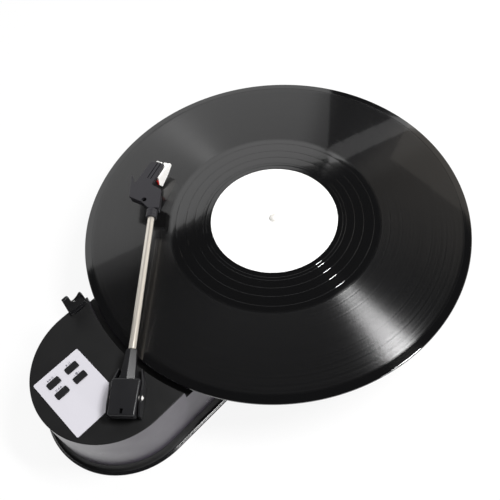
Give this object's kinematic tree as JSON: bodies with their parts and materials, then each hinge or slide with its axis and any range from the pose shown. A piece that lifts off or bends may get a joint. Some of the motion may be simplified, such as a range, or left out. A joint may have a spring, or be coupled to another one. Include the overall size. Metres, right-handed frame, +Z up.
{
  "type": "record player",
  "caption": "Portable stadium-shaped record player with a loaded twelve-inch record overhanging its base, and a pivoted tonearm on a fork-rest deck.",
  "frame": {"origin": "on the floor under the middle of the whole object, record included", "axes": "+X along the base from its control end towards the record, +Y towards the side with the sockets and the arm rest, +Z up"},
  "size_m": [0.381, 0.3014, 0.0763],
  "materials": {
    "black_satin": "fine satin moulding",
    "black_gloss": "glossy moulding",
    "record_black": "pressed vinyl, grooved",
    "label_white": "uncoated paper, bare",
    "plate_white": "pale satin",
    "lever_white": "off-white satin",
    "rubber": "matt",
    "chrome": "plated and polished",
    "steel": "plain",
    "brass": "turned",
    "zinc": "cast zinc, grey",
    "board_green": "glass-epoxy board"
  },
  "bodies": {
    "base": {"arm_rest": "black_satin", "arm_turret": "black_satin", "battery_box": "black_satin", "battery_contacts": "steel", "battery_springs": "steel", "bearing_bush": "brass", "bottom_tray": "black_gloss", "case_screw_1": "steel", "case_screw_2": "steel", "case_screw_3": "steel", "case_screw_4": "steel", "control_plate": "plate_white", "drive_belt": "rubber", "drive_motor": "steel", "foot_1": "rubber", "foot_2": "rubber", "foot_3": "rubber", "foot_4": "rubber", "headphone_jack": "black_satin", "main_board": "board_green", "main_board_screw": "steel", "motor_screw_1": "steel", "motor_screw_2": "steel", "speaker": "zinc", "speed_switch": "steel", "switch_board": "board_green", "switch_board_screw": "steel", "turret_nut": "brass", "upper_housing": "black_satin", "usb_socket": "steel", "volume_control": "zinc"},
    "turntable": {"platter": "black_satin", "platter_mat": "rubber", "spindle": "steel", "spindle_clip": "steel", "record": "record_black", "record_label": "label_white"},
    "motor_rotor": {"motor_shaft": "steel", "motor_pulley": "brass"},
    "arm_base": {"arm_yoke": "black_satin", "arm_pivot_pin": "steel", "arm_shaft": "steel", "arm_shaft_clip": "steel"},
    "arm": {"arm_cover": "black_satin", "arm_weight": "zinc", "arm_tube": "chrome", "arm_collar": "black_satin", "head_cover": "black_satin", "head_block": "black_satin", "head_screw": "steel", "cartridge": "black_satin", "stylus_lever": "lever_white", "stylus": "steel"},
    "next": {"next_button": "black_satin"},
    "play": {"play_button": "black_satin"},
    "previous": {"previous_button": "black_satin"},
    "record_key": {"record_button": "black_satin"},
    "volume": {"volume_wheel": "black_satin"},
    "speed": {"speed_knob": "black_satin"},
    "door": {"battery_door": "black_satin"}
  },
  "joints": [
    {"name": "platter_spin", "type": "hinge", "parent": "base", "child": "turntable", "pos_m": [0.03977, 0, 0.05], "axis": [0, 0, -1], "continuous": true},
    {"name": "motor_spin", "type": "hinge", "parent": "base", "child": "motor_rotor", "pos_m": [-0.00483, 0, 0.05], "axis": [0, 0, -1], "continuous": true},
    {"name": "arm_swing", "type": "hinge", "parent": "base", "child": "arm_base", "pos_m": [-0.13542, -0.0313, 0.0641], "axis": [0, 0, 1], "range_deg": [-16, 27]},
    {"name": "arm_lift", "type": "hinge", "parent": "arm_base", "child": "arm", "pos_m": [-0.13542, -0.0313, 0.0641], "axis": [0.6699, -0.7424, 0], "range_deg": [0, 16]},
    {"name": "next_press", "type": "slide", "parent": "base", "child": "next", "axis": [0, 0, -1], "range_m": [0, 0.0007], "stiffness_N_per_m": 600, "springref_m": -0.0008},
    {"name": "play_press", "type": "slide", "parent": "base", "child": "play", "axis": [0, 0, -1], "range_m": [0, 0.0007], "stiffness_N_per_m": 600, "springref_m": -0.0008},
    {"name": "previous_press", "type": "slide", "parent": "base", "child": "previous", "axis": [0, 0, -1], "range_m": [0, 0.0007], "stiffness_N_per_m": 600, "springref_m": -0.0008},
    {"name": "record_press", "type": "slide", "parent": "base", "child": "record_key", "axis": [0, 0, -1], "range_m": [0, 0.0007], "stiffness_N_per_m": 600, "springref_m": -0.0008},
    {"name": "volume_turn", "type": "hinge", "parent": "base", "child": "volume", "pos_m": [-0.03422, 0.0448, 0.03], "axis": [0, 0, 1], "range_deg": [-130, 130]},
    {"name": "speed_slide", "type": "slide", "parent": "base", "child": "speed", "axis": [1, 0, 0], "range_m": [-0.003, 0.003]},
    {"name": "door_hinge", "type": "hinge", "parent": "base", "child": "door", "pos_m": [-0.03213, 0, 0.0019], "axis": [0, 1, 0], "range_deg": [-95, 0]}
  ],
  "couplings": [
    {"joint": "motor_spin", "follows": "platter_spin", "ratio": 20.5}
  ]
}
